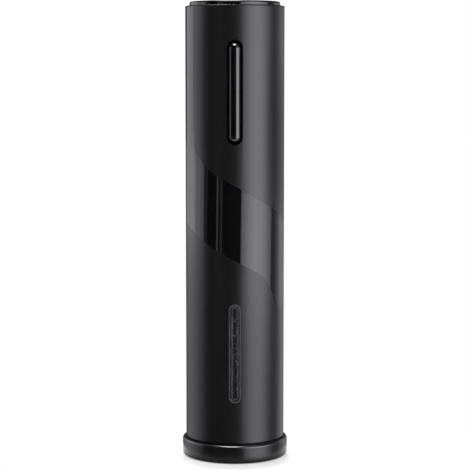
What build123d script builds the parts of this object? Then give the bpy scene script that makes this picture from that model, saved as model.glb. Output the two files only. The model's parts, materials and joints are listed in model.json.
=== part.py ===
from build123d import *
import math
import os

# Battery wine opener standing on its foil cutter.
# Millimetres. The origin is the centre of the foot, +Z is up and the front, with button and window, is at -Y.

# Clearances
slip = 0.2  # loose inner parts to the tube, on the radius
fit = 0.05  # seats and running fits
free = 0.3  # beside parts that move
part_line = 0.1  # parting line beside the gloss band

# Gearbox
gear_module = 0.8
planet_count = 3
sun_teeth_per_planet = 3
planet_to_sun_ratio = 2  # planet teeth for each tooth of the sun
pressure_angle = 25.0
addendum_share = 0.8  # of the module
dedendum_share = 1.05  # of the module
backlash = 0.08
gearbox_wall = 3.36
cover_thickness = 3.5
output_plate = 2.5
output_gear_width = 7.0
first_plate = 2.0
first_gear_width = 8.0
planet_pin_r = 1.6
carrier_rim = 3.1  # carrier plate outside the planet pins
output_shaft_r = 3.0
bush_wall = 1.95
cover_boss_wall = 2.5
cover_boss_drop = 3.0
mount_thickness = 3.5

# Motor
motor_r = 13.85
motor_length = 37.0
motor_wall = 0.9
motor_face = 1.5
magnet_thickness = 2.6
magnet_length = 26.0
magnet_arc = 130.0
air_gap = 0.7
armature_length = 22.0
armature_slot = 1.6
motor_shaft_r = 1.15
end_cap_thickness = 3.0
end_cap_spigot = 2.0
terminal_size = (2.0, 0.5, 3.2)
terminal_x = 5.0
terminal_edge = 3.55  # terminals in from the motor's rim
lead_r = 0.5
lead_bend_r = 4.0
motor_screw_spacing = 16.0

# Housing tube and its skin
tube_wall = 2.0
skin = 0.8
bond = 0.05  # between the tube and the matte sleeve
neck_step = 1.9  # inner shoulder that motor plate and battery holder bear on
neck_above_motor = 0.1
rim_fillet = 0.5
foot_fillet = 0.3
shadow_gap = 0.6  # from the foil cutter's lip up to the skin

# Gloss band, unrolled on the body's surface.
# It comes down the left, crosses the front and goes down the right.
band_inner_edge = 24.6  # from the front line to the nearer upright edge
band_outer_edge = 57.4  # from the front line to the farther upright edge
band_slope = 0.54
band_mid = 121.85
band_height = 37.3
band_fillet = 29.0
band_points = 6  # points of each bent stretch

# Window
window_width = 7.0
window_length = 51.1
window_above_guide = 6.55  # above the cork guide's foot
window_ledge = 1.7
lens_thickness = 1.5
lens_recess = 0.1
lens_bevel = 0.3

# Button
button_r = 3.17
button_length = 49.7
button_proud = 1.5
button_gap = 0.35
button_end_gap = 0.72
button_depth = 2.4  # inside the tube's bore
shortest_peg = 0.4
pivot_depth = 1.5  # pin axis inside the tube's bore
pivot_pin_r = 0.7
pivot_pin_length = 10.0
pivot_lug_r = 1.5
pivot_lug_width = 5.4
peg_r = 1.2
bezel_wall = 0.5
bezel_recess = 0.4
bezel_flange = 1.8
bezel_depth = 2.6

# Control board
board_thickness = 1.2
board_width = 16.0
board_length = 46.9
board_pocket = 1.5  # room beside the board
switch_size = 6.0
switch_height = 1.7
switch_travel = 0.5
board_screw_edge = 2.95  # from the board's end to the middle of its screw
switch_screw_gap = 0.3
board_screw_r = 0.8
board_web = 5.0

# Battery compartment
cell_r = 7.25
cell_length = 50.5
cell_tip_r = 2.75
cell_tip = 1.0
well_clearance = 0.25
well_rib = 0.5
well_wall = 0.9
holder_floor = 2.0
holder_rim = 3.0
holder_skirt_wall = 1.5
holder_short = 4.5  # cells stand this far above the wells
contact_thickness = 0.3
contact_rise = 1.6
contact_width = 5.0
contact_span = 10.0
terminal_room = 1.7  # above the motor's terminals

# Top cap
cap_rim = 2.2  # tube's rim seen round the cap
cap_height = 3.15
cap_seat = 1.0  # of the cap's disc sunk in the tube
cap_fillet = 0.8
cap_gap = 0.15
cap_skirt_wall = 1.9
cap_skirt_length = 10.3
cap_rib = 6.0
cap_plate_room = 2.5  # from the cells' tops to the skirt's lower edge

# Cork chamber
mouth_r = 16.5
mouth_depth = 8.2
seat_r = 15.3
seat_depth = 8.0
collar_flange = 1.5
collar_flange_inset = 0.1  # from the body's surface
guide_r = 13.0
guide_wall = 1.6
guide_length = 63.95
guide_foot = 5.0
guide_head = 2.0
guide_slot_width = 10.0
guide_slot_end = 2.0

# Worm and hub
worm_wire_r = 1.5
worm_r = 3.0  # wire centre
worm_pitch = 8.7
worm_turns = 4.5
worm_tip = 3.5
worm_tip_r = 0.15
worm_bend_r = 4.0
worm_shank = 5.0
hub_collar_r = 6.5
hub_collar = 8.5
hub_neck_r = 5.0
hub_neck = 13.85
hub_shaft_depth = 9.0
hub_drop = 0.5  # hub to bush
grub_screw_r = 1.5

# Screws: shank radius, head radius, head height
chassis_screw = (1.0, 1.5, 1.8)
collar_screw = (1.0, 2.0, 1.5)
motor_screw = (1.25, 2.2, 1.5)
cutter_screw = (0.8, 1.6, 0.7)
board_screw = (board_screw_r, 1.5, 1.0)
screw_hole = 0.1
chassis_screw_bite = 3.0
collar_screw_bite = 4.4
motor_screw_bite = 1.4
cutter_screw_bite = 4.0
board_screw_bite = 3.0
collar_screw_count = 3
chassis_screw_count = 4

# Foil cutter that the opener stands on
lip_wall = 1.55
lip_clearance = 0.25
lip_fillet = 1.3
recess_depth = 1.5
deck = 1.0
deck_hole_r = 15.5
shell_lift = 0.1  # shell's lower edge above the table
pad_thickness = 0.9
pad_inset = 0.8
base_thickness = 1.4
jaw_height = 4.1
jaw_gap = 0.2
jaw_inner_r = 14.6
jaw_back = 3.85  # room for the jaw's travel and its spring
jaw_half_width = 13.0
rail_thickness = 1.4
rail_start = 9.0
rail_length = 10.0
spring_thickness = 0.35
spring_half_length = 11.5
boss_r = 2.2
boss_x = 4.4
boss_edge = 4.3  # boss axis to the shell's inner wall
wheel_r = 3.5
wheel_thickness = 0.6
wheel_edge = 0.25
wheel_reach = 12.9  # wheel edge to the bottle's axis
wheel_angle = 33.0
wheel_pin_r = 0.75
wheel_slot = 1.2

# Worked out from the sizes above
sun_teeth = planet_count * sun_teeth_per_planet
planet_teeth = planet_to_sun_ratio * sun_teeth
ring_teeth = sun_teeth + 2 * planet_teeth
sun_pitch_r = gear_module * sun_teeth / 2
planet_pitch_r = gear_module * planet_teeth / 2
ring_pitch_r = gear_module * ring_teeth / 2
addendum = addendum_share * gear_module
dedendum = dedendum_share * gear_module
planet_orbit_r = sun_pitch_r + planet_pitch_r
carrier_r = planet_orbit_r + planet_pin_r + carrier_rim

well_r = cell_r + well_clearance
cell_offset = well_r + well_rib / 2
well_front = cell_offset + well_r + well_wall
board_back = well_front + fit
board_front = board_back + board_thickness
switch_top = board_front + switch_height
peg_end = switch_top + switch_travel

tube_bore_r = max(ring_pitch_r + dedendum + gearbox_wall + slip, peg_end + button_depth + shortest_peg)
tube_r = tube_bore_r + tube_wall
body_r = tube_r + skin
inner_r = tube_bore_r - slip
neck_r = tube_bore_r - neck_step
screw_circle_r = inner_r - gearbox_wall / 2
collar_circle_r = (mouth_r + inner_r) / 2
cap_r = body_r - cap_rim
magnet_r = motor_r - motor_wall - fit
armature_r = magnet_r - magnet_thickness - air_gap
terminal_y = -math.sqrt((motor_r - terminal_edge) ** 2 - terminal_x**2)

base_bottom = pad_thickness
base_top = base_bottom + base_thickness
jaw_bottom = base_top + jaw_gap
jaw_top = jaw_bottom + jaw_height
deck_bottom = jaw_top + jaw_gap
deck_top = deck_bottom + deck
lip_top = deck_top + recess_depth
recess_r = body_r + lip_clearance
skin_bottom = lip_top + shadow_gap
shell_r = recess_r + lip_wall

collar_bottom = deck_top + fit
tube_bottom = collar_bottom + collar_flange
mouth_top = collar_bottom + mouth_depth
guide_bottom = mouth_top + seat_depth
guide_top = guide_bottom + guide_length
cover_top = guide_top + cover_thickness
output_plate_bottom = cover_top + free
output_plate_top = output_plate_bottom + output_plate
output_gear_bottom = output_plate_top + free
output_gear_top = output_gear_bottom + output_gear_width
first_plate_bottom = output_gear_top + 2 * free
first_plate_top = first_plate_bottom + first_plate
first_gear_bottom = first_plate_top + free
first_gear_top = first_gear_bottom + first_gear_width
mount_bottom = first_gear_top + 4 * free
mount_top = mount_bottom + mount_thickness
motor_top = mount_top + motor_length
end_cap_top = motor_top + end_cap_thickness
terminal_top = end_cap_top + terminal_size[2]
neck_top = end_cap_top + neck_above_motor
floor_bottom = terminal_top + terminal_room
floor_top = floor_bottom + holder_floor
cell_bottom = floor_top + contact_thickness + contact_rise
cell_top = cell_bottom + cell_length
skirt_bottom = cell_top + cap_plate_room
cap_bottom = skirt_bottom + cap_skirt_length
body_top = cap_bottom + cap_seat
cap_top = cap_bottom + cap_height

window_mid = guide_bottom + window_above_guide + window_length / 2
board_mid = floor_top - 2 * contact_thickness + board_length / 2
button_mid = board_mid
board_screw_z = board_length / 2 - board_screw_edge
switch_z = board_screw_z - board_screw[1] - switch_screw_gap - switch_size / 2
pivot_y = -(tube_bore_r - pivot_depth)
hub_top = guide_top - cover_boss_drop - hub_drop
hub_neck_bottom = hub_top - hub_neck
hub_bottom = hub_neck_bottom - hub_collar

cell_places = [(sx * cell_offset, sy * cell_offset) for sx in (-1, 1) for sy in (-1, 1)]
planet_angles = [360.0 * k / planet_count for k in range(planet_count)]


def rod(radius, bottom, top):
    """Upright cylinder on the main axis."""
    return Pos(0, 0, bottom) * Cylinder(radius, top - bottom, align=(Align.CENTER, Align.CENTER, Align.MIN))


def sleeve(outer, inner, bottom, top):
    """Upright tube on the main axis."""
    return rod(outer, bottom, top) - rod(inner, bottom, top)


def block(low, high):
    """Box between two corners."""
    size = [b - a for a, b in zip(low, high)]
    return Pos(*low) * Box(*size, align=(Align.MIN, Align.MIN, Align.MIN))


def slot_prism(width, length, middle, back, front):
    """Upright slot with round ends, extruded towards the front between two depths."""
    face = Plane((0, -back, middle), x_dir=(1, 0, 0), z_dir=(0, -1, 0))
    return extrude(face * SlotOverall(length, width, rotation=90), front - back)


def polar(radius, degrees):
    """Point in plan at an angle from +X."""
    angle = math.radians(degrees)
    return (radius * math.cos(angle), radius * math.sin(angle))


def cross_rod(radius, length, y, z):
    """Cylinder along X, centred."""
    return Pos(0, y, z) * Rot(0, 90, 0) * Cylinder(radius, length)


def rising_screw(sizes, x, y, seat, length):
    """Screw with its head below its seat and its shank going up."""
    shank_r, head_r, head_height = sizes
    return Pos(x, y, 0) * (rod(shank_r, seat, seat + length) + rod(head_r, seat - head_height, seat))


def ring_of_points(radius, count, start):
    return [polar(radius, start + 360.0 * k / count) for k in range(count)]


# Gears

def involute(angle):
    return math.tan(angle) - angle


def gear_face(teeth, tip_r, root_r, thinning, turn):
    """Outline of a spur gear with involute flanks, one tooth at the angle turn."""
    pitch_r = gear_module * teeth / 2
    pressure = math.radians(pressure_angle)
    base_r = pitch_r * math.cos(pressure)
    flank_r = max(root_r, base_r)
    middle_r = (flank_r + tip_r) / 2

    def half_angle(radius):
        at_pitch = math.pi / (2 * teeth) - thinning / (2 * pitch_r)
        roll = math.acos(min(1.0, base_r / radius))
        return math.degrees(at_pitch + involute(pressure) - involute(roll))

    step = 360.0 / teeth
    edges = []
    for k in range(teeth):
        centre = turn + k * step
        sides = {}
        for side in (-1, 1):
            foot = polar(root_r, centre + side * half_angle(flank_r))
            start = polar(flank_r, centre + side * half_angle(flank_r))
            middle = polar(middle_r, centre + side * half_angle(middle_r))
            end = polar(tip_r, centre + side * half_angle(tip_r))
            if flank_r > root_r:
                edges.append(Edge.make_line(foot, start))
            edges.append(Edge.make_three_point_arc(start, middle, end))
            sides[side] = (foot, end)
        edges.append(Edge.make_three_point_arc(sides[-1][1], polar(tip_r, centre), sides[1][1]))
        next_foot = polar(root_r, centre + step - half_angle(flank_r))
        edges.append(Edge.make_three_point_arc(sides[1][0], polar(root_r, centre + step / 2), next_foot))
    return Face(Wire(edges))


def outer_gear(teeth, bottom, top, turn):
    pitch_r = gear_module * teeth / 2
    face = gear_face(teeth, pitch_r + addendum, pitch_r - dedendum, backlash, turn)
    return Pos(0, 0, bottom) * extrude(face, top - bottom, dir=(0, 0, 1))


def planet_gear(angle, bottom, top):
    """Planet on its pin, with a gap towards the sun's tooth."""
    turn = 180.0 + 180.0 / planet_teeth
    gear = outer_gear(planet_teeth, bottom, top, turn) - rod(planet_pin_r + fit, bottom, top)
    return Rot(0, 0, angle) * Pos(planet_orbit_r, 0, 0) * gear


def carrier(plate_bottom, plate_top, pin_top):
    plate = rod(carrier_r, plate_bottom, plate_top)
    for x, y in ring_of_points(planet_orbit_r, planet_count, 0):
        plate += Pos(x, y, 0) * rod(planet_pin_r, plate_bottom, pin_top)
    return plate


def make_gear_housing():
    barrel = rod(inner_r, cover_top, mount_bottom)
    turn = 0 if planet_teeth % 2 else 180.0 / ring_teeth
    teeth = gear_face(ring_teeth, ring_pitch_r + dedendum, ring_pitch_r - addendum, -backlash, turn)
    barrel -= Pos(0, 0, cover_top) * extrude(teeth, mount_bottom - cover_top, dir=(0, 0, 1))
    return barrel - chassis_holes(cover_top, mount_bottom)


def make_first_carrier():
    sun = outer_gear(sun_teeth, output_gear_bottom, first_plate_bottom, 0)
    return carrier(first_plate_bottom, first_plate_top, first_gear_top + free) + sun


def make_output_carrier():
    shaft = rod(output_shaft_r, hub_top - hub_shaft_depth, output_plate_bottom)
    return carrier(output_plate_bottom, output_plate_top, output_gear_top + free) + shaft


def make_sun_gear():
    gear = outer_gear(sun_teeth, first_gear_bottom, first_gear_top + free, 0)
    return gear - rod(motor_shaft_r, first_gear_bottom, first_gear_top + free)


# Chassis between mouth and motor

def chassis_places():
    return ring_of_points(screw_circle_r, chassis_screw_count, 180.0 / chassis_screw_count)


def chassis_holes(bottom, top):
    hole = rod(chassis_screw[0] + screw_hole, bottom, top)
    return [Pos(x, y, 0) * hole for x, y in chassis_places()]


def make_chassis_screws():
    seat = guide_top - guide_head
    length = mount_bottom + chassis_screw_bite - seat
    return [rising_screw(chassis_screw, x, y, seat, length) for x, y in chassis_places()]


def collar_places():
    return ring_of_points(collar_circle_r, collar_screw_count, 90)


def make_collar_screws():
    seat = guide_bottom - collar_screw[2] - free
    length = guide_bottom + collar_screw_bite - seat
    return [rising_screw(collar_screw, x, y, seat, length) for x, y in collar_places()]


def make_bottle_collar():
    ring = rod(inner_r, collar_bottom, guide_bottom)
    ring += rod(body_r - collar_flange_inset, collar_bottom, tube_bottom)
    ring -= rod(mouth_r, collar_bottom, mouth_top)
    ring -= rod(seat_r, mouth_top, guide_bottom)
    seat = guide_bottom - collar_screw[2] - free
    counterbore = rod(collar_screw[1] + screw_hole, collar_bottom, seat)
    hole = rod(collar_screw[0] + screw_hole, seat, guide_bottom)
    return ring - [Pos(x, y, 0) * (counterbore + hole) for x, y in collar_places()]


def make_cork_guide():
    guide = rod(guide_r + guide_wall, guide_bottom, guide_top)
    guide += rod(inner_r, guide_bottom, guide_bottom + guide_foot)
    guide += rod(inner_r, guide_top - guide_head, guide_top)
    guide -= rod(guide_r, guide_bottom, guide_top)
    low = (-guide_slot_width / 2, -guide_r - 2 * guide_wall, guide_bottom + guide_foot + guide_slot_end)
    high = (guide_slot_width / 2, 0, guide_top - guide_head - guide_slot_end)
    guide -= block(low, high)
    hole = rod(collar_screw[0], guide_bottom, guide_bottom + collar_screw_bite)
    guide -= [Pos(x, y, 0) * hole for x, y in collar_places()]
    return guide - chassis_holes(guide_top - guide_head, guide_top)


def make_gearbox_cover():
    bush_r = output_shaft_r + bush_wall
    cover = rod(inner_r, guide_top, cover_top)
    cover += rod(bush_r + cover_boss_wall, guide_top - cover_boss_drop, guide_top)
    cover -= rod(bush_r, guide_top - cover_boss_drop, cover_top)
    return cover - chassis_holes(guide_top, cover_top)


def make_output_bush():
    return sleeve(output_shaft_r + bush_wall, output_shaft_r + fit, guide_top - cover_boss_drop, cover_top)


def motor_screw_places():
    return [(-motor_screw_spacing / 2, 0), (motor_screw_spacing / 2, 0)]


def make_motor_mount():
    plate = rod(inner_r, mount_bottom, mount_top)
    plate -= rod(sun_pitch_r + addendum + free, mount_bottom, mount_top)
    seat = mount_bottom + motor_screw[2]
    cut = rod(motor_screw[1] + screw_hole, mount_bottom, seat)
    cut += rod(motor_screw[0] + screw_hole, seat, mount_top)
    plate -= [Pos(x, y, 0) * cut for x, y in motor_screw_places()]
    hole = rod(chassis_screw[0], mount_bottom, mount_bottom + chassis_screw_bite)
    return plate - [Pos(x, y, 0) * hole for x, y in chassis_places()]


def make_motor_screws():
    seat = mount_bottom + motor_screw[2]
    length = mount_top - seat + motor_screw_bite
    return [rising_screw(motor_screw, x, y, seat, length) for x, y in motor_screw_places()]


# Motor

def make_motor_can():
    can = rod(motor_r, mount_top, motor_top) - rod(motor_r - motor_wall, mount_top + motor_face, motor_top)
    can -= rod(motor_shaft_r + fit, mount_top, mount_top + motor_face)
    hole = rod(motor_screw[0], mount_top, mount_top + motor_face)
    return can - [Pos(x, y, 0) * hole for x, y in motor_screw_places()]


def motor_middle():
    return (mount_top + motor_face + motor_top - end_cap_spigot) / 2


def make_motor_magnets():
    bottom = motor_middle() - magnet_length / 2
    ring = sleeve(magnet_r, magnet_r - magnet_thickness, bottom, bottom + magnet_length)
    gap = 180.0 - magnet_arc
    wedge = Polygon((0, 0), polar(2 * motor_r, -gap / 2), polar(2 * motor_r, gap / 2), align=None)
    cut = Pos(0, 0, bottom) * extrude(wedge, magnet_length)
    return (ring - cut - Rot(0, 0, 180) * cut).solids()


def make_armature():
    bottom = motor_middle() - armature_length / 2
    core = rod(armature_r, bottom, bottom + armature_length)
    slot = block(
        (motor_shaft_r * 2, -armature_slot / 2, bottom),
        (2 * armature_r, armature_slot / 2, bottom + armature_length),
    )
    core -= [Rot(0, 0, 120 * k) * slot for k in range(3)]
    return core - rod(motor_shaft_r, bottom, bottom + armature_length)


def make_motor_shaft():
    return rod(motor_shaft_r, first_gear_bottom, end_cap_top - fit)


def make_motor_end_cap():
    cap = rod(motor_r, motor_top, end_cap_top)
    cap += rod(magnet_r, motor_top - end_cap_spigot, motor_top)
    return cap - rod(motor_shaft_r + fit, motor_top - end_cap_spigot, end_cap_top)


def make_motor_terminals():
    x, y, z = terminal_size
    tab = block((-x / 2, -y / 2, 0), (x / 2, y / 2, z))
    return [Pos(side * terminal_x, terminal_y, end_cap_top) * tab for side in (-1, 1)]


def make_motor_leads():
    """Two wires from the motor's tabs forward and up to the board's lower edge."""
    board_y = -(board_back + board_thickness / 2)
    start_y = terminal_y - terminal_size[1] / 2
    wire_z = end_cap_top + terminal_size[2] / 2
    board_end = board_mid - board_length / 2
    wires = []
    for side in (-1, 1):
        x = side * terminal_x
        path = FilletPolyline(
            (x, start_y, wire_z), (x, board_y, wire_z), (x, board_y, board_end), radius=lead_bend_r
        )
        section = Plane((x, start_y, wire_z), z_dir=(0, -1, 0)) * Circle(lead_r)
        wires.append(sweep(section, path=path))
    return wires


# Housing

def band_line(top_edge, bottom_edge, height):
    """One edge of the gloss band, unrolled: upright, sloping across the front, upright again."""
    points = [
        (top_edge, 2 * body_top),
        (top_edge, height - band_slope * top_edge),
        (bottom_edge, height - band_slope * bottom_edge),
        (bottom_edge, -body_top),
    ]
    return FilletPolyline(*points, radius=band_fillet)


def on_body(along, height, radius):
    """Point of the unrolled surface, wrapped to a radius."""
    angle = along / body_r
    return (radius * math.sin(angle), -radius * math.cos(angle), height)


def wrapped_edges(line, shift, radius):
    edges = []
    for edge in line.edges():
        start = edge.position_at(0)
        end = edge.position_at(1)
        if edge.geom_type == GeomType.LINE and math.isclose(start.X, end.X):
            low = on_body(start.X + shift, start.Y, radius)
            high = on_body(end.X + shift, end.Y, radius)
            edges.append(Edge.make_line(low, high))
        else:
            steps = [edge.position_at(k / band_points) for k in range(band_points + 1)]
            edges.append(Edge.make_spline([on_body(p.X + shift, p.Y, radius) for p in steps]))
    return edges


def parting_wall(line):
    """Thin radial wall that follows one edge of the band through the skin."""
    corners = [(-part_line / 2, tube_bore_r), (-part_line / 2, body_r + skin)]
    corners += [(part_line / 2, body_r + skin), (part_line / 2, tube_bore_r)]
    strips = [wrapped_edges(line, shift, radius) for shift, radius in corners]
    faces = []
    for k in range(len(corners)):
        for a, b in zip(strips[k], strips[(k + 1) % len(corners)]):
            faces.append(Face.make_surface_from_curves(a, b))
    for index, place in ((0, 0), (-1, 1)):
        faces.append(Face(Wire.make_polygon([strip[index].position_at(place) for strip in strips])))
    return Solid(Shell(faces))


def skin_pieces(inner):
    """The skin cut along both band edges: the matte sleeve first, then the band."""
    blank = rod(body_r, skin_bottom, body_top)
    blank = fillet(blank.edges().filter_by(GeomType.CIRCLE).sort_by(Axis.Z)[-1:], rim_fillet)
    blank = fillet(blank.edges().filter_by(GeomType.CIRCLE).sort_by(Axis.Z)[:1], foot_fillet)
    blank -= rod(inner, skin_bottom, body_top)
    upper = band_line(-band_inner_edge, band_outer_edge, band_mid + band_height / 2)
    lower = band_line(-band_outer_edge, band_inner_edge, band_mid - band_height / 2)
    cut = blank - [parting_wall(upper), parting_wall(lower)]
    return sorted(cut.solids(), key=lambda piece: -piece.volume)


def button_slot():
    width = 2 * (button_r + button_gap + bezel_wall + fit)
    length = button_length + 2 * (button_end_gap + bezel_wall + fit)
    return slot_prism(width, length, button_mid, board_back, body_r + skin)


def window_pocket():
    pocket = slot_prism(window_width, window_length, window_mid, guide_r, body_r + skin)
    return pocket - rod(body_r - lens_recess - lens_thickness, guide_bottom, guide_top)


def make_body_tube():
    tube = sleeve(tube_r, tube_bore_r, tube_bottom, body_top)
    tube += sleeve(tube_bore_r + tube_wall / 2, neck_r, mount_top, neck_top)
    tube += skin_pieces(tube_r - bond)[1]
    tube -= rod(cap_r + cap_gap, cap_bottom, body_top)
    opening = slot_prism(
        window_width - 2 * window_ledge, window_length - 2 * window_ledge, window_mid, guide_r, body_r
    )
    return tube - [button_slot(), window_pocket(), opening]


def make_matte_wrap():
    return skin_pieces(tube_r + bond)[0] - [button_slot(), window_pocket()]


def make_window_lens():
    gap = 2 * fit
    outer = body_r - lens_recess
    inner = outer - lens_thickness + fit
    plate = slot_prism(window_width - gap, window_length - gap, window_mid, guide_r, body_r + skin)
    plate &= sleeve(outer, inner, guide_bottom, guide_top)
    front = plate.faces().sort_by(Axis.Y)[0]
    return chamfer(front.edges(), lens_bevel)


# Button and its board

def make_button_bezel():
    opening_width = 2 * (button_r + button_gap)
    opening_length = button_length + 2 * button_end_gap
    back = tube_bore_r - bezel_depth
    front = body_r + skin
    wide = opening_width + 2 * bezel_wall
    long = opening_length + 2 * bezel_wall
    neck = slot_prism(wide, long, button_mid, back, front)
    neck &= rod(body_r - bezel_recess, neck_top, body_top)
    flange = slot_prism(wide + 2 * bezel_flange, long + 2 * bezel_flange, button_mid, back, front)
    flange &= rod(tube_bore_r - fit, neck_top, body_top)
    bezel = neck + flange - slot_prism(opening_width, opening_length, button_mid, 0, front)
    return bezel - cross_rod(pivot_pin_r, pivot_pin_length, pivot_y, button_mid)


def make_button_pin():
    return cross_rod(pivot_pin_r, pivot_pin_length, pivot_y, button_mid)


def make_rocker_button():
    """Round-ended bar with a pivot lug and two pegs that press the switches."""
    axis_y = -(body_r + button_proud - button_r)
    straight = button_length - 2 * button_r
    bar = Pos(0, axis_y, 0) * rod(button_r, button_mid - straight / 2, button_mid + straight / 2)
    for end in (-1, 1):
        bar += Pos(0, axis_y, button_mid + end * straight / 2) * Sphere(button_r)
    back = tube_bore_r - button_depth
    bar -= block((-body_r, -back, button_mid - button_length), (body_r, 0, button_mid + button_length))
    bar += cross_rod(pivot_lug_r, pivot_lug_width, pivot_y, button_mid)
    for x, z in switch_places():
        peg = Plane((x, axis_y, z), z_dir=(0, 1, 0)) * Circle(peg_r)
        bar += extrude(peg, -axis_y - peg_end)
    return bar - cross_rod(pivot_pin_r + fit, 2 * body_r, pivot_y, button_mid)


def switch_places():
    return [(0, board_mid - switch_z), (0, board_mid + switch_z)]


def board_screw_places():
    return [(0, board_mid - board_screw_z), (0, board_mid + board_screw_z)]


def depth_rod(radius, x, z, back, front):
    """Cylinder along Y between two depths from the main axis."""
    return extrude(Plane((x, -back, z), z_dir=(0, -1, 0)) * Circle(radius), front - back)


def make_circuit_board():
    board = block(
        (-board_width / 2, -board_front, board_mid - board_length / 2),
        (board_width / 2, -board_back, board_mid + board_length / 2),
    )
    hole_r = board_screw[0] + screw_hole
    return board - [depth_rod(hole_r, x, z, board_back, board_front) for x, z in board_screw_places()]


def make_tact_switches():
    half = switch_size / 2
    switches = []
    for x, z in switch_places():
        face_y = -board_front - switch_height / 2
        base = block((x - half, face_y, z - half), (x + half, -board_front, z + half))
        switches.append(base + depth_rod(half / 2, x, z, board_front, switch_top))
    return switches


def make_board_screws():
    shank_r, head_r, head_height = board_screw
    screws = []
    for x, z in board_screw_places():
        shank = depth_rod(shank_r, x, z, board_back - board_screw_bite, board_front)
        screws.append(shank + depth_rod(head_r, x, z, board_front, board_front + head_height))
    return screws


# Batteries

def make_battery_holder():
    wells_top = cell_top - holder_short
    holder = sleeve(inner_r, inner_r - holder_skirt_wall, neck_top, floor_bottom)
    holder += rod(inner_r, floor_bottom, floor_top)
    holder += rod(inner_r, wells_top - holder_rim, wells_top)
    web = block((-board_web / 2, -well_front, floor_bottom), (board_web / 2, -cell_offset, wells_top))
    holder += web
    holder += [Pos(x, y, 0) * rod(well_r + well_wall, floor_bottom, wells_top) for x, y in cell_places]
    holder -= [Pos(x, y, 0) * rod(well_r, floor_top, wells_top) for x, y in cell_places]
    pocket = board_width / 2 + board_pocket
    holder -= block((-pocket, -body_r, neck_top), (pocket, -well_front, body_top))
    half = contact_width / 2 + fit
    for side in (-1, 1):
        low = (side * cell_offset - half, -well_front, floor_top)
        high = (side * cell_offset + half, -cell_offset, floor_top + 2 * contact_thickness)
        holder -= block(low, high)
    holder -= rear_bridge(fit, 2 * contact_thickness)
    screw_end = board_back - board_screw_bite
    return holder - [depth_rod(board_screw[0], x, z, screw_end, board_back) for x, z in board_screw_places()]


def make_battery_cells():
    """Two cells stand tip up and two tip down."""
    cells = []
    for x, y in cell_places:
        tip_up = x * y > 0
        low = cell_bottom if tip_up else cell_bottom + cell_tip
        tip = cell_top - cell_tip if tip_up else cell_bottom
        can = rod(cell_r, low, low + cell_length - cell_tip) + rod(cell_tip_r, tip, tip + cell_tip)
        cells.append(Pos(x, y, 0) * can)
    return cells


def leaf(rise):
    """Bowed contact strip over its own foot line, along Y."""
    half = contact_span / 2
    outer = [(-half, 0), (0, rise), (half, 0)]
    lower = [(-half, -contact_thickness), (0, rise - contact_thickness), (half, -contact_thickness)]
    edges = [
        Edge.make_three_point_arc(*outer),
        Edge.make_line(outer[2], lower[2]),
        Edge.make_three_point_arc(*lower),
        Edge.make_line(lower[0], outer[0]),
    ]
    side = Plane((-contact_width / 2, 0, 0), x_dir=(0, 1, 0), z_dir=(1, 0, 0))
    return extrude(side * Face(Wire(edges)), contact_width, dir=(1, 0, 0))


def contact_plate(x, low_y, high_y, bottom):
    return block(
        (x - contact_width / 2, low_y, bottom), (x + contact_width / 2, high_y, bottom + contact_thickness)
    )


def rear_bridge(margin, thickness):
    """Strip across the well wall that joins the two rear contacts."""
    half = contact_width / 2 + margin
    low = (-cell_offset, cell_offset - half, floor_top)
    high = (cell_offset, cell_offset + half, floor_top + thickness)
    return block(low, high)


def make_battery_contacts():
    """A bowed leaf under each cell: the front ones reach to the board, a bridge joins the rear ones."""
    bow = leaf(contact_rise - fit)
    reach = contact_span / 2
    rear = rear_bridge(0, contact_thickness)
    front = []
    for x, y in cell_places:
        low = -board_back if y < 0 else y - reach
        contact = contact_plate(x, low, y + reach, floor_top)
        contact += Pos(x, y, floor_top + contact_thickness) * bow
        if y < 0:
            front.append(contact)
        else:
            rear += contact
    return front + [rear]


# Top cap

def make_battery_cap():
    cap = rod(cap_r, cap_bottom, cap_top)
    cap = fillet(cap.edges().filter_by(GeomType.CIRCLE).sort_by(Axis.Z)[-1:], cap_fillet)
    cap += sleeve(inner_r, inner_r - cap_skirt_wall, skirt_bottom, cap_bottom)
    reach = inner_r - cap_skirt_wall / 2
    cap += block((-reach, -cap_rib / 2, skirt_bottom), (reach, cap_rib / 2, cap_bottom))
    return cap


def make_cap_contacts():
    """Two plates under the cap's rib, each joining a front cell to the rear cell behind it."""
    drop = cap_plate_room - contact_thickness
    bow = Rot(180, 0, 0) * leaf(drop - 2 * contact_thickness)
    plates = []
    for side in (-1, 1):
        x = side * cell_offset
        reach = cell_offset + contact_span / 2
        plate = contact_plate(x, -reach, reach, skirt_bottom - contact_thickness)
        for y in (-cell_offset, cell_offset):
            plate += Pos(x, y, skirt_bottom - contact_thickness) * bow
        plates.append(plate)
    return plates


# Worm

def helix_point(turn, bottom):
    angle = 2 * math.pi * turn
    return Vector(worm_r * math.cos(angle), worm_r * math.sin(angle), bottom + worm_pitch * turn)


def helix_direction(turn):
    angle = 2 * math.pi * turn
    rise = worm_pitch / (2 * math.pi)
    return Vector(-worm_r * math.sin(angle), worm_r * math.cos(angle), rise).normalized()


def biarc(start, start_way, end, end_way):
    """Two arcs that join two points and keep the direction at each."""
    chord = end - start
    ways = start_way + end_way
    turn = 2 * (1 - start_way.dot(end_way))
    along = chord.dot(ways)
    reach = (-along + math.sqrt(along**2 + turn * chord.dot(chord))) / turn
    joint = (start + end + (start_way - end_way) * reach) / 2
    joint_way = (end - end_way * reach) - (start + start_way * reach)
    first = Edge.make_tangent_arc(start, start_way, joint)
    second = Edge.make_tangent_arc(joint, joint_way, end)
    return [first, second]


def worm_levels():
    """Rise angle of the wire, height where the helix ends and height where it starts."""
    rise = math.atan2(worm_pitch, 2 * math.pi * worm_r)
    top = hub_bottom - hub_drop - worm_bend_r * math.cos(rise)
    return rise, top, top - worm_turns * worm_pitch


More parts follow.
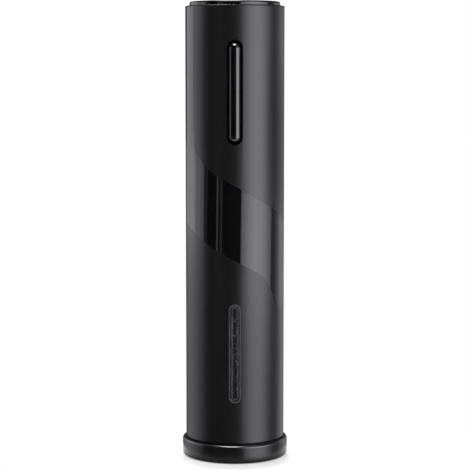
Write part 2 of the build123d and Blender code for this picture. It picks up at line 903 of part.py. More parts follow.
def shank_place():
    """Foot of the straight shank, above the bend out of the helix."""
    rise, top, bottom = worm_levels()
    way = helix_direction(worm_turns)
    level = Vector(way.X, way.Y, 0).normalized()
    return helix_point(worm_turns, bottom) + level * (worm_bend_r * (1 - math.sin(rise))) + Vector(
        0, 0, worm_bend_r * math.cos(rise)
    )


def make_worm():
    bottom = worm_levels()[2]
    quarters = round(worm_turns * 4)
    edges = []
    for k in range(quarters):
        a = k / 4
        b = (k + 1) / 4
        start = (helix_point(a, bottom), helix_direction(a))
        end = (helix_point(b, bottom), helix_direction(b))
        edges += biarc(*start, *end)
    foot = shank_place()
    last = quarters / 4
    edges.append(Edge.make_tangent_arc(helix_point(last, bottom), helix_direction(last), foot))
    edges.append(Edge.make_line(foot, foot + Vector(0, 0, worm_shank)))
    start = helix_point(0, bottom)
    way = helix_direction(0)
    wire = sweep(Plane(start, z_dir=way) * Circle(worm_wire_r), path=Wire(edges))
    return wire + Solid.make_cone(worm_wire_r, worm_tip_r, worm_tip, Plane(start, z_dir=way * -1))


def hub_screw_z():
    return hub_neck_bottom + hub_neck / 2


def make_worm_hub():
    hub = rod(hub_collar_r, hub_bottom, hub_neck_bottom) + rod(hub_neck_r, hub_neck_bottom, hub_top)
    hub -= rod(output_shaft_r, hub_top - hub_shaft_depth, hub_top)
    foot = shank_place()
    hub -= Pos(foot.X, foot.Y, 0) * rod(worm_wire_r, hub_bottom, foot.Z + worm_shank)
    return hub - depth_rod(grub_screw_r, 0, hub_screw_z(), output_shaft_r, hub_neck_r)


def make_hub_screw():
    return depth_rod(grub_screw_r, 0, hub_screw_z(), output_shaft_r + fit, hub_neck_r - fit)


# Foil cutter

def boss_places():
    y = recess_r - boss_edge
    return [(sx * boss_x, sy * y) for sx in (-1, 1) for sy in (-1, 1)]


def make_cutter_shell():
    shell = rod(shell_r, shell_lift, lip_top)
    shell = fillet(shell.edges().filter_by(GeomType.CIRCLE), lip_fillet)
    shell -= rod(recess_r, deck_top, lip_top)
    shell -= rod(recess_r, shell_lift, deck_bottom)
    shell -= rod(deck_hole_r, deck_bottom, deck_top)
    boss = rod(boss_r, base_top + fit, deck_bottom)
    shell += [Pos(x, y, 0) * boss for x, y in boss_places()]
    seat = base_bottom + cutter_screw[2]
    hole = rod(cutter_screw[0], base_top, seat + cutter_screw_bite)
    return shell - [Pos(x, y, 0) * hole for x, y in boss_places()]


def make_cutter_base():
    plate = rod(recess_r - fit, base_bottom, base_top)
    for sx in (-1, 1):
        for sy in (-1, 1):
            xs = sorted((sx * rail_start, sx * (rail_start + rail_length)))
            ys = sorted((sy * (jaw_half_width + jaw_gap), sy * (jaw_half_width + jaw_gap + rail_thickness)))
            rail = block((xs[0], ys[0], base_bottom), (xs[1], ys[1], jaw_top))
            plate += rail & rod(recess_r - fit, base_bottom, jaw_top)
    seat = base_bottom + cutter_screw[2]
    cut = rod(cutter_screw[1] + screw_hole, base_bottom, seat)
    cut += rod(cutter_screw[0] + screw_hole, seat, base_top)
    return plate - [Pos(x, y, 0) * cut for x, y in boss_places()]


def make_cutter_screws():
    seat = base_bottom + cutter_screw[2]
    return [rising_screw(cutter_screw, x, y, seat, cutter_screw_bite) for x, y in boss_places()]


def make_foot_pad():
    return rod(recess_r - pad_inset, 0, pad_thickness)


def wheel_places(side):
    x, y = polar(wheel_reach + wheel_r, wheel_angle)
    return [(side * x, -y), (side * x, y)]


def wheel_level():
    return (jaw_bottom + jaw_top) / 2


def make_jaw(side):
    outer = recess_r - jaw_back
    ring = sleeve(outer, jaw_inner_r, jaw_bottom, jaw_top)
    xs = sorted((0, side * recess_r))
    jaw = ring & block((xs[0], -jaw_half_width, jaw_bottom), (xs[1], jaw_half_width, jaw_top))
    half = wheel_slot / 2
    for x, y in wheel_places(side):
        jaw -= Pos(x, y, 0) * rod(wheel_r + free, wheel_level() - half, wheel_level() + half)
        jaw -= Pos(x, y, 0) * rod(wheel_pin_r, jaw_bottom, jaw_top)
    return jaw


def make_wheel_pins(side):
    return [Pos(x, y, 0) * rod(wheel_pin_r, jaw_bottom, jaw_top) for x, y in wheel_places(side)]


def make_cutting_wheel(place):
    half = wheel_thickness / 2
    disc = rod(wheel_r, wheel_level() - half, wheel_level() + half)
    disc = chamfer(disc.edges().filter_by(GeomType.CIRCLE), wheel_edge)
    disc -= rod(wheel_pin_r + fit, wheel_level() - half, wheel_level() + half)
    return Pos(place[0], place[1], 0) * disc


def make_jaw_spring(side):
    """Strip that bows from the shell's wall at its ends to the jaw's back at its middle."""
    half = spring_half_length
    end_x = math.sqrt((recess_r - fit) ** 2 - half**2)
    back_x = recess_r - jaw_back + fit + spring_thickness
    outer = [(end_x, -half), (back_x, 0), (end_x, half)]
    inner = [(x - spring_thickness, y) for x, y in outer]
    edges = [
        Edge.make_three_point_arc(*outer),
        Edge.make_line(outer[2], inner[2]),
        Edge.make_three_point_arc(*inner),
        Edge.make_line(inner[0], outer[0]),
    ]
    strip = Pos(0, 0, jaw_bottom) * extrude(Face(Wire(edges)), jaw_height, dir=(0, 0, 1))
    return strip if side > 0 else Rot(0, 0, 180) * strip


parts = {
    "body_tube": make_body_tube(),
    "matte_wrap": make_matte_wrap(),
    "window_lens": make_window_lens(),
    "button_bezel": make_button_bezel(),
    "button_pin": make_button_pin(),
    "rocker_button": make_rocker_button(),
    "circuit_board": make_circuit_board(),
    "tact_switches": make_tact_switches(),
    "board_screws": make_board_screws(),
    "battery_holder": make_battery_holder(),
    "battery_cells": make_battery_cells(),
    "battery_contacts": make_battery_contacts(),
    "battery_cap": make_battery_cap(),
    "cap_contacts": make_cap_contacts(),
    "motor_can": make_motor_can(),
    "motor_magnets": make_motor_magnets(),
    "motor_end_cap": make_motor_end_cap(),
    "motor_terminals": make_motor_terminals(),
    "motor_leads": make_motor_leads(),
    "motor_shaft": make_motor_shaft(),
    "armature": make_armature(),
    "sun_gear": make_sun_gear(),
    "motor_mount": make_motor_mount(),
    "motor_screws": make_motor_screws(),
    "gear_housing": make_gear_housing(),
    "gearbox_cover": make_gearbox_cover(),
    "output_bush": make_output_bush(),
    "first_carrier": make_first_carrier(),
    "output_carrier": make_output_carrier(),
    "chassis_screws": make_chassis_screws(),
    "cork_guide": make_cork_guide(),
    "bottle_collar": make_bottle_collar(),
    "collar_screws": make_collar_screws(),
    "worm_hub": make_worm_hub(),
    "hub_screw": make_hub_screw(),
    "worm": make_worm(),
    "cutter_shell": make_cutter_shell(),
    "cutter_base": make_cutter_base(),
    "cutter_screws": make_cutter_screws(),
    "foot_pad": make_foot_pad(),
}
for number, angle in enumerate(planet_angles, 1):
    parts[f"planet_a{number}"] = planet_gear(angle, first_gear_bottom, first_gear_top)
    parts[f"planet_b{number}"] = planet_gear(angle, output_gear_bottom, output_gear_top)
for name, side in (("left", -1), ("right", 1)):
    parts[f"jaw_{name}"] = make_jaw(side)
    parts[f"wheel_pins_{name}"] = make_wheel_pins(side)
    parts[f"jaw_spring_{name}"] = make_jaw_spring(side)
for number, place in enumerate(wheel_places(-1) + wheel_places(1), 1):
    parts[f"cutting_wheel_{number}"] = make_cutting_wheel(place)

os.makedirs("parts", exist_ok=True)
for name, shape in parts.items():
    shapes = shape if isinstance(shape, list) else [shape]
    solids = [solid for item in shapes for solid in item.solids()]
    export_step(solids[0] if len(solids) == 1 else Compound(children=solids), f"parts/{name}.step")
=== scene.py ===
import json
import math

import bpy
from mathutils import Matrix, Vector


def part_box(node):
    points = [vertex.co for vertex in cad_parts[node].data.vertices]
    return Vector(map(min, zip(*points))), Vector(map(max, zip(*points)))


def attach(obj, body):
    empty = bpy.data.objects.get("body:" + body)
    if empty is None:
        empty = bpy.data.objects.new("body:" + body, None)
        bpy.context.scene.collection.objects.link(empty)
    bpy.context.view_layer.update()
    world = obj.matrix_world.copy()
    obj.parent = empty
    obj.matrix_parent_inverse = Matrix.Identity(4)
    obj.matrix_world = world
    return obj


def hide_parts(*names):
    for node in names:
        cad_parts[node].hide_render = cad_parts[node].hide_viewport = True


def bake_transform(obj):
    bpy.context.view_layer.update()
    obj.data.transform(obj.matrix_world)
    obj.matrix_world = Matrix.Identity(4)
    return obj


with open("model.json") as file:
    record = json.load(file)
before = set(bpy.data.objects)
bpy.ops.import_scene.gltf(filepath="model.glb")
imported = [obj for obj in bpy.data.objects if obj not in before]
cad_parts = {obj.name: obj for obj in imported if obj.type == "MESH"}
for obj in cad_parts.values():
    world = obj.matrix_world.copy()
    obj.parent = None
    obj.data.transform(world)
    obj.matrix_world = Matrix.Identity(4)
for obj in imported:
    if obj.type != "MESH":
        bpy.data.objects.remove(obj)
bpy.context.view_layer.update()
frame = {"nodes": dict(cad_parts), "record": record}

nodes = frame["nodes"]
scene = bpy.context.scene
scene.view_settings.view_transform = "Standard"

# Lengths are in metres, unless a comment gives another unit.

# Camera, where the photo was taken from.
SENSOR_WIDTH = 36.0  # millimetres
LENS = 124.55  # millimetres
CAMERA_PLACE = (0.00005, -0.83165, 0.19743)
CAMERA_TILT = 5.7485  # degrees below the horizon
CLIP_START = 0.01

# Specular level of plain plastic, and of the places where it is lowered as painted shade or
# raised as a painted highlight.
PLAIN_SHINE = 0.5
SEAM_PAINTED_SHADE = 0.05
RIM_PAINTED_SHADE = 0.12
FOOT_PAINTED_SHADE = 0.1
LIP_PAINTED_HIGHLIGHT = 1.0
BEZEL_PAINTED_SHADE = 0.08

# Ends of the matte sleeve, where its specular level is lowered as painted shade.
SLEEVE_END = 0.0007

# Base: top of its foot with painted shade, start of its plain wall, and how far down its lip has
# a painted highlight.
FOOT_SHADE_TOP = 0.001
WALL_START = 0.0038
LIP_DEPTH = 0.0012

# Window: frosted border, a black edge of painted shade for the gap round the lens outside it, and
# how softly each begins.
FROST_WIDTH = 0.0009
GAP_SHADE_EDGE = 0.0002
BORDER_SOFT = 0.0001
CLEAR = (0.82, 0.83, 0.84)
FROST = (0.034, 0.034, 0.036)
GAP_SHADE = (0.002, 0.002, 0.002)

# Seal bead of the window: its place inside the lens's outline, its width, how far it lies behind
# the lens's front, and its depth.
SEAL_INSET = 0.00166
SEAL_WIDTH = 0.0008
SEAL_BEHIND = 0.00152
SEAL_DEPTH = 0.00048
SEAL_STEPS = 16  # to each round end

# Hub: grey of the steel and of the painted highlights on the rims of its collar. Heights go up
# from its lower end.
HUB_DARK = 0.05
HUB_RIM_HIGHLIGHT = 0.95
HUB_HIGHLIGHT_PLACES = ((0.0, 0.001), (0.0077, 0.0086))
HUB_HIGHLIGHT_SOFT = 0.0002
HUB_COLLAR = 0.01

# Cell, by share of its height.
CELL_METAL = (0.6, 0.6, 0.58)
CELL_SLEEVE = (0.05, 0.06, 0.08)
CELL_BAND = (0.42, 0.2, 0.07)
CELL_SHADES = ((0.0, CELL_METAL), (0.03, CELL_SLEEVE), (0.86, CELL_BAND), (0.97, CELL_METAL))

# Jaw springs.
SPRING_THICKNESS = 0.00035
SPRING_STEPS = 16

# Floor: a small turntable just under the foot. FLOOR_WHITE_AND_PAINTED_SHADE is the white that it
# adds, by distance from a point FLOOR_SHADE_AHEAD in front of the part's axis, up to FLOOR_REACH;
# less of it near the base paints a shadow.
FLOOR_RADII = (0.024, 0.03, 0.038)
FLOOR_LEVEL = -0.00001
FLOOR_SEGMENTS = 120
FLOOR_SHADE_AHEAD = 0.012
FLOOR_REACH = 0.1
FLOOR_WHITE_AND_PAINTED_SHADE = ((0.0, 0.33), (0.022, 0.36), (0.026, 0.42), (0.0285, 0.58), (0.031, 0.8))

# Light tent: strength by compass angle in degrees, 0 towards the camera and growing to the right.
# LOWER stands below the gloss band, BELT level with the band and again with the cap, UPPER round
# the button.
TENT_RADIUS = 0.5
TENT_SEGMENTS = 180
TENT_BOTTOM = -0.35
TENT_TOP = 1.2
LOWER = (
    (-165, 0.05), (-151, 0.22), (-143, 0.48), (-118, 0.95), (-106, 1.0), (-98, 0.9),
    (-80, 0.5), (-69, 0.05),
    (17, 0.02), (22, 1.1), (34, 2.4), (45, 2.8), (55, 2.85), (63, 2.5), (78, 1.0), (92, 0.1),
    (105, 0.18), (123, 0.68), (137, 0.75), (150, 0.5), (176, 0.05),
)
BELT = (
    (-155, 0.1), (-143, 0.9), (-130, 1.2), (-118, 2.0), (-103.7, 2.2), (-101.8, 1.5),
    (-86.8, 1.7), (-84.4, 1.27), (-77.6, 1.27), (-75.2, 0.24), (-66, 0.23), (-64.6, 0.02),
    (-42.4, 0.02), (-41.4, 1.1), (-38.9, 1.1), (-38.4, 0.02),
    (-35, 0.02), (-33.5, 0.33), (-29.5, 0.33), (-28, 0.02),
    (13.3, 0.03), (14.8, 1.85), (30, 3.65), (46, 4.95), (62, 4.4), (79, 2.75), (83, 1.9),
    (89.3, 1.7), (91, 0.33), (104, 0.3), (128, 1.1), (158, 0.3),
)
UPPER = (
    (-155, 0.05), (-148, 0.2), (-143, 0.95), (-127, 1.35), (-116, 1.6), (-108, 1.85),
    (-106.5, 0.95), (-95, 0.95), (-90, 1.2), (-83, 1.15), (-80, 0.3), (-68, 0.03),
    (17, 0.02), (22, 1.7), (34, 3.8), (45, 4.6), (55, 4.7), (63, 4.2), (78, 1.4), (90, 0.08),
    (107, 0.1), (122, 0.45), (152, 0.46), (170, 0.05),
)
# Shares by height: UPPER over LOWER, BELT over both, and the light that is left at all, because
# the tent has a dark ceiling. The heights drop to the right, as the gloss band does.
UPPERS = ((TENT_BOTTOM, 0), (0.026, 0), (0.038, 1), (TENT_TOP, 1))
BELTS = (
    (TENT_BOTTOM, 0), (0.026, 0), (0.038, 1), (0.105, 1), (0.118, 0),
    (0.225, 0), (0.24, 1), (0.27, 1), (0.29, 0), (TENT_TOP, 0),
)
FADE = ((TENT_BOTTOM, 1), (0.325, 1), (0.365, 0.12), (TENT_TOP, 0.12))
SLANT = 0.0118  # metres for each radian
BRIGHTEST = 5.25  # strength at the top of the ramps
COOL = (1.0, 0.995, 1.045)  # daylight tint

# Softbox overhead.
TOP_LIGHT_SIZE = (0.24, 0.4)
TOP_LIGHT_POWER = 3.9  # watts
TOP_LIGHT_PLACE = (-0.06, -0.12, 0.62)
TOP_LIGHT_TILT = (-11, -3)  # degrees about x and y


# Camera

def add_camera():
    """Stands 832 mm in front of the part, near the height of its top, and looks a little down."""
    data = bpy.data.cameras.new("camera")
    data.sensor_width = SENSOR_WIDTH
    data.lens = LENS
    data.clip_start = CLIP_START
    data.dof.use_dof = False
    camera = bpy.data.objects.new("camera", data)
    camera.location = CAMERA_PLACE
    camera.rotation_euler = (math.radians(90 - CAMERA_TILT), 0, 0)
    scene.collection.objects.link(camera)
    scene.camera = camera


# Materials

def greys(stops, tint=(1, 1, 1)):
    """Turns (place, grey) stops into (place, colour) stops."""
    return [(place, [grey * share for share in tint]) for place, grey in stops]


class Nodes:
    """Node tree of one material, in object coordinates."""

    def __init__(self, name):
        self.material = bpy.data.materials.new(name)
        self.material.use_nodes = True
        self.tree = self.material.node_tree
        self.place = self.add("TexCoord").outputs["Object"]

    def add(self, kind):
        return self.tree.nodes.new(f"ShaderNode{kind}")

    def link(self, source, target):
        self.tree.links.new(source, target)

    def feed(self, target, value):
        """Gives an input a number, a colour or another node's output."""
        if isinstance(value, bpy.types.NodeSocket):
            self.link(value, target)
        elif isinstance(value, tuple):
            target.default_value = (*value, 1)
        else:
            target.default_value = value

    def axes(self):
        """Outputs X, Y and Z of the place on the object."""
        split = self.add("SeparateXYZ")
        self.link(self.place, split.inputs["Vector"])
        return split.outputs

    def math(self, operation, *values):
        """Math node whose inputs are sockets or numbers."""
        node = self.add("Math")
        node.operation = operation
        for target, value in zip(node.inputs, values):
            self.feed(target, value)
        return node.outputs["Value"]

    def spread(self, source, low, high, start=0.3, end=0.7):
        """Source values between start and end become low to high."""
        node = self.add("MapRange")
        node.inputs["From Min"].default_value = start
        node.inputs["From Max"].default_value = end
        node.inputs["To Min"].default_value = low
        node.inputs["To Max"].default_value = high
        self.link(source, node.inputs["Value"])
        return node.outputs["Result"]

    def ramp(self, source, stops, interpolation="LINEAR"):
        """Colour ramp through (place from 0 to 1, colour) stops."""
        node = self.add("ValToRGB")
        node.color_ramp.interpolation = interpolation
        elements = node.color_ramp.elements
        while len(elements) < len(stops):
            elements.new(0.5)
        for element, (place, color) in zip(elements, stops):
            element.position = place
            element.color = (*color, 1)
        self.link(source, node.inputs["Fac"])
        return node.outputs["Color"]

    def mix(self, share, first, second):
        """Mix of two colours or colour sockets."""
        node = self.add("MixRGB")
        self.feed(node.inputs["Fac"], share)
        self.feed(node.inputs["Color1"], first)
        self.feed(node.inputs["Color2"], second)
        return node.outputs["Color"]


class Paint(Nodes):
    """Material with a Principled shader."""

    def __init__(self, name, color, roughness, metallic=0.0, **sockets):
        super().__init__(name)
        self.shader = self.tree.nodes["Principled BSDF"]
        self.set("Base Color", color)
        self.set("Roughness", roughness)
        self.set("Metallic", metallic)
        for socket, value in sockets.items():
            self.set(socket.replace("_", " "), value)
        self.material.diffuse_color = (*color, 1)

    def set(self, socket, value):
        self.feed(self.shader.inputs[socket], value)

    def noise(self, scale, detail, stretch=(1, 1, 1)):
        mapping = self.add("Mapping")
        mapping.inputs["Scale"].default_value = stretch
        self.link(self.place, mapping.inputs["Vector"])
        texture = self.add("TexNoise")
        texture.inputs["Scale"].default_value = scale
        texture.inputs["Detail"].default_value = detail
        self.link(mapping.outputs["Vector"], texture.inputs["Vector"])
        return texture.outputs["Fac"]

    def tint(self, source, dark, light):
        self.set("Base Color", self.ramp(source, ((0.35, dark), (0.65, light))))

    def rough(self, source, low, high):
        self.set("Roughness", self.spread(source, low, high))

    def bump(self, source, height, strength=1.0):
        node = self.add("Bump")
        node.inputs["Distance"].default_value = height
        node.inputs["Strength"].default_value = strength
        self.link(source, node.inputs["Height"])
        self.set("Normal", node.outputs["Normal"])

    def height_share(self, bottom, top):
        return self.spread(self.axes()["Z"], 0, 1, bottom, top)

    def height_ramp(self, bottom, top, stops):
        """Grey by height between bottom and top, from (height, grey) stops."""
        shares = [((z - bottom) / (top - bottom), grey) for z, grey in stops]
        return self.ramp(self.height_share(bottom, top), greys(shares))


def gloss_paint(seam, top):
    """Piano gloss: deep black, with the faint waviness of moulded and polished plastic.

    Below the seam with the base its specular level is lowered, as painted shade in the gap.
    """
    paint = Paint("gloss_black", (0.003, 0.003, 0.0034), 0.05)
    # Specular level lowered below the seam: painted shade in the gap above the base.
    paint.set("Specular IOR Level", paint.height_ramp(0, top, (
        (seam, SEAM_PAINTED_SHADE), (seam + SLEEVE_END / 2, PLAIN_SHINE),
    )))
    paint.rough(paint.noise(160, 3), 0.035, 0.07)
    paint.tint(paint.noise(60, 2), (0.0024, 0.0024, 0.0028), (0.0036, 0.0036, 0.004))
    paint.bump(paint.noise(90, 1), 0.000004)
    return paint.material


def button_paint():
    """Harder, brighter gloss of the button, polished by use."""
    paint = Paint("button_gloss", (0.002, 0.002, 0.0022), 0.06, IOR=1.62)
    paint.rough(paint.noise(220, 3), 0.04, 0.09)
    paint.tint(paint.noise(80, 2), (0.0016, 0.0016, 0.0018), (0.0026, 0.0026, 0.0028))
    paint.bump(paint.noise(120, 1), 0.000003)
    return paint.material


def bezel_paint():
    """Black frame round the button, with its reflection cut down as painted shade of the gap
    round the button.
    """
    # Low specular level: painted shade for the gap round the button.
    paint = Paint("bezel", (0.002, 0.002, 0.002), 0.6, Specular_IOR_Level=BEZEL_PAINTED_SHADE)
    paint.rough(paint.noise(1800, 2), 0.55, 0.7)
    paint.tint(paint.noise(700, 3), (0.0015, 0.0015, 0.0015), (0.003, 0.003, 0.003))
    paint.bump(paint.noise(3600, 3), 0.000008, 0.3)
    return paint.material


def satin(name, low, high):
    """Satin black plastic with a fine even grain."""
    paint = Paint(name, (0.0065, 0.0065, 0.0068), (low + high) / 2)
    paint.rough(paint.noise(2400, 2), low, high)
    paint.tint(paint.noise(900, 4), (0.0055, 0.0055, 0.0058), (0.0075, 0.0075, 0.0078))
    paint.bump(paint.noise(5200, 3), 0.000005, 0.2)
    return paint


def matte_paint(bottom, top):
    """Satin of the sleeve, with its specular level lowered along both its ends as painted shade:
    in the seam at its foot, and against the lamp's highlight on its top rim.
    """
    paint = satin("matte_black", 0.28, 0.33)
    # Specular level lowered at both ends: painted seam shade at the foot, painted shade over the
    # lamp's highlight at the top rim.
    paint.set("Specular IOR Level", paint.height_ramp(bottom, top, (
        (bottom + SLEEVE_END / 2, SEAM_PAINTED_SHADE), (bottom + SLEEVE_END, PLAIN_SHINE),
        (top - SLEEVE_END, PLAIN_SHINE), (top - SLEEVE_END / 2, RIM_PAINTED_SHADE),
    )))
    return paint.material


def base_paint(top):
    """Smoother satin of the base, with painted shade at its foot and a painted highlight along
    its lip.
    """
    paint = satin("base_satin", 0.2, 0.24)
    # Specular level lowered at the foot (painted shade) and raised along the lip (painted
    # highlight).
    paint.set("Specular IOR Level", paint.height_ramp(0, top, (
        (FOOT_SHADE_TOP, FOOT_PAINTED_SHADE), (WALL_START, PLAIN_SHINE),
        (top - LIP_DEPTH, PLAIN_SHINE), (top - LIP_DEPTH / 2, LIP_PAINTED_HIGHLIGHT),
    )))
    return paint.material


def window_paint(low, high):
    """Clear polished plastic with a frosted border and a black edge of painted gap shade outside
    it, by distance from the slot's middle line.
    """
    paint = Paint("clear_window", CLEAR, 0.02, IOR=1.49)
    radius = (high.x - low.x) / 2
    middle = (low.z + high.z) / 2
    axes = paint.axes()
    up = paint.math("SUBTRACT", axes["Z"], middle)
    beyond = paint.math("SUBTRACT", paint.math("ABSOLUTE", up), middle - low.z - radius)
    round_end = paint.math("MAXIMUM", beyond, 0.0)
    squares = [paint.math("MULTIPLY", side, side) for side in (axes["X"], round_end)]
    from_line = paint.math("SQRT", paint.math("ADD", *squares))

    def border(width):
        return paint.spread(from_line, 0.0, 1.0, radius - width - BORDER_SOFT, radius - width)

    haze = paint.spread(paint.noise(500, 3), 0.008, 0.014)
    frost = paint.math("MAXIMUM", border(FROST_WIDTH), haze)
    # Black outermost edge: painted shade for the gap between the lens and the sleeve.
    gap_shade = border(GAP_SHADE_EDGE)
    paint.set("Base Color", paint.mix(gap_shade, paint.mix(frost, CLEAR, FROST), GAP_SHADE))
    paint.set("Transmission Weight", paint.spread(frost, 1.0, 0.0, 0.0, 1.0))
    dull = paint.spread(frost, 0.02, 0.5, 0.05, 1.0)
    paint.set("Roughness", paint.math("ADD", dull, paint.math("MULTIPLY", gap_shade, 0.4)))
    return paint.material


def plastic_paint(name, dark, light, low=0.4, high=0.55, grain=3200, height=0.00001):
    """Moulded plastic with a spark-eroded grain."""
    paint = Paint(name, light, (low + high) / 2)
    paint.tint(paint.noise(420, 4), dark, light)
    paint.rough(paint.noise(1500, 2), low, high)
    paint.bump(paint.noise(grain, 3), height, 0.4)
    return paint.material


def metal_paint(name, dark, light, low, high, stretch=(1, 1, 1), scale=600):
    """Machined metal: tool marks run across the stretched direction."""
    paint = Paint(name, light, (low + high) / 2, metallic=1.0)
    marks = paint.noise(scale, 4, stretch)
    paint.tint(paint.noise(140, 3), dark, light)
    paint.rough(marks, low, high)
    paint.bump(marks, 0.000006, 0.3)
    return paint.material


def hub_paint(bottom):
    """Blackened steel, with painted highlights on the rims of the collar at the hub's lower end.
    """
    paint = Paint("hub", (0.05, 0.05, 0.052), 0.4, metallic=1.0)
    # Bright bands of painted highlight on the collar's rims, over the dark steel.
    stops = []
    for start, end in HUB_HIGHLIGHT_PLACES:
        stops += [
            (bottom + start - HUB_HIGHLIGHT_SOFT, HUB_DARK), (bottom + start, HUB_RIM_HIGHLIGHT),
            (bottom + end, HUB_RIM_HIGHLIGHT), (bottom + end + HUB_HIGHLIGHT_SOFT, HUB_DARK),
        ]
    shade = paint.height_ramp(bottom - HUB_HIGHLIGHT_SOFT, bottom + HUB_COLLAR, stops)
    paint.set("Base Color", shade)
    paint.rough(paint.noise(900, 4), 0.35, 0.5)
    paint.bump(paint.noise(900, 4, (1, 1, 6)), 0.000006, 0.3)
    return paint.material


def board_paint():
    """Green solder mask over copper runs that shine through."""
    paint = Paint("board", (0.02, 0.11, 0.045), 0.3)
    brick = paint.add("TexBrick")
    brick.inputs["Scale"].default_value = 180
    brick.inputs["Mortar Size"].default_value = 0.012
    paint.feed(brick.inputs["Color1"], (0.018, 0.1, 0.04))
    paint.feed(brick.inputs["Color2"], (0.024, 0.13, 0.052))
    paint.feed(brick.inputs["Mortar"], (0.05, 0.2, 0.08))
    paint.link(paint.place, brick.inputs["Vector"])
    paint.set("Base Color", brick.outputs["Color"])
    paint.rough(paint.noise(300, 2), 0.25, 0.4)
    paint.bump(brick.outputs["Fac"], 0.00003, 0.4)
    return paint.material


def cell_paint(bottom, top):
    """Plain wrapped cell: dark sleeve with a copper-coloured band, bare metal at both ends."""
    paint = Paint("cell", CELL_SLEEVE, 0.3)
    share = paint.height_share(bottom, top)
    paint.set("Base Color", paint.ramp(share, CELL_SHADES, "CONSTANT"))
    paint.rough(paint.noise(250, 3), 0.22, 0.36)
    return paint.material


def slot_paints():
    """Material of each slot that the record names."""
    low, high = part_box("matte_wrap")
    cell_low, cell_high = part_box("battery_cells")
    return {
        "gloss_black": gloss_paint(low.z, high.z),
        "matte_black": matte_paint(low.z, high.z),
        "clear_window": window_paint(*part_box("window_lens")),
        "inner_plastic": plastic_paint(
            "inner_plastic", (0.012, 0.012, 0.013), (0.018, 0.018, 0.019)),
        "gear_plastic": plastic_paint(
            "gear_plastic", (0.7, 0.68, 0.62), (0.78, 0.76, 0.7), 0.3, 0.42, 2000, 0.000006),
        "steel": metal_paint(
            "steel", (0.52, 0.52, 0.53), (0.64, 0.64, 0.65), 0.16, 0.3, (1, 1, 6)),
        "motor_shell": metal_paint(
            "motor_shell", (0.46, 0.46, 0.45), (0.6, 0.6, 0.59), 0.28, 0.45, (1, 1, 0.3), 300),
        "magnet": plastic_paint(
            "magnet", (0.05, 0.05, 0.055), (0.08, 0.08, 0.085), 0.6, 0.8, 1400, 0.00003),
        "bronze": metal_paint(
            "bronze", (0.45, 0.28, 0.12), (0.58, 0.4, 0.2), 0.3, 0.5, scale=1200),
        "board": board_paint(),
        "switch": plastic_paint(
            "switch", (0.02, 0.02, 0.02), (0.035, 0.035, 0.035), 0.3, 0.4),
        "contact": metal_paint(
            "contact", (0.66, 0.65, 0.6), (0.78, 0.77, 0.72), 0.15, 0.28, scale=400),
        "cell": cell_paint(cell_low.z, cell_high.z),
        "lead": plastic_paint("lead", (0.3, 0.02, 0.02), (0.4, 0.035, 0.03), 0.35, 0.5),
        "foot": plastic_paint(
            "foot", (0.016, 0.016, 0.016), (0.028, 0.028, 0.028), 0.75, 0.95, 1800, 0.00005),
    }


def node_paints():
    """Materials of the nodes that differ from their slot's."""
    return {
        "worm_hub": hub_paint(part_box("worm_hub")[0].z),
        "rocker_button": button_paint(),
        "button_bezel": bezel_paint(),
        "button_pin": metal_paint(
            "black_pin", (0.01, 0.01, 0.01), (0.02, 0.02, 0.02), 0.35, 0.5),
        "cutter_shell": base_paint(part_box("cutter_shell")[1].z),
    }


def paint_nodes():
    by_slot = slot_paints()
    by_node = node_paints()
    for piece in frame["record"]["subparts"]:
        name = piece["node"]
        for slot in nodes[name].material_slots:
            slot.material = by_node.get(name, by_slot[piece["material_slot"]])


# Meshes

def add_mesh(name, points, faces, material):
    mesh = bpy.data.meshes.new(name)
    mesh.from_pydata(points, [], faces)
    mesh.materials.append(material)
    made = bpy.data.objects.new(name, mesh)
    scene.collection.objects.link(made)
    return made


def wall_faces(rows, count, closed=False):
    """Faces between rows of count points that each go once round. Closed joins the last row to
    the first."""
    faces = []
    for row in range(rows if closed else rows - 1):
        here = row * count
        there = (row + 1) % rows * count
        for k in range(count):
            after = (k + 1) % count
            faces.append((here + k, here + after, there + after, there + k))
    return faces


# Window

def slot_outline(width, length, steps):
    """Points (across, up) round a slot with round ends."""
    radius = width / 2
    straight = length / 2 - radius
    points = []
    for end, start in ((1, 0.0), (-1, math.pi)):
        for k in range(steps + 1):
            angle = start + math.pi * k / steps
            points.append((radius * math.cos(angle), end * straight + radius * math.sin(angle)))
    return points


def add_seal():
    """Seal bead on the ledge behind the window; its pale grey is a painted highlight along the
    edge of the slot.
    """
    low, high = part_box("window_lens")
    middle = (low.z + high.z) / 2
    width = high.x - low.x - 2 * SEAL_INSET
    length = high.z - low.z - 2 * SEAL_INSET
    front = -low.y - SEAL_BEHIND
    back = front - SEAL_DEPTH
    rings = ((0, front), (2 * SEAL_WIDTH, front), (2 * SEAL_WIDTH, back), (0, back))
    points = []
    for inset, radius in rings:
        for across, up in slot_outline(width - inset, length - inset, SEAL_STEPS):
            points.append((across, -math.sqrt(radius**2 - across**2), middle + up))
    faces = wall_faces(len(rings), len(points) // len(rings), closed=True)
    # Pale grey: a painted highlight along the edge of the slot behind the lens.
    material = plastic_paint("highlight_seal", (0.16, 0.16, 0.165), (0.22, 0.22, 0.225))
    highlight_seal = add_mesh("window_seal_painted_highlight", points, faces, material)
    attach(highlight_seal, "housing")


# Jaw springs

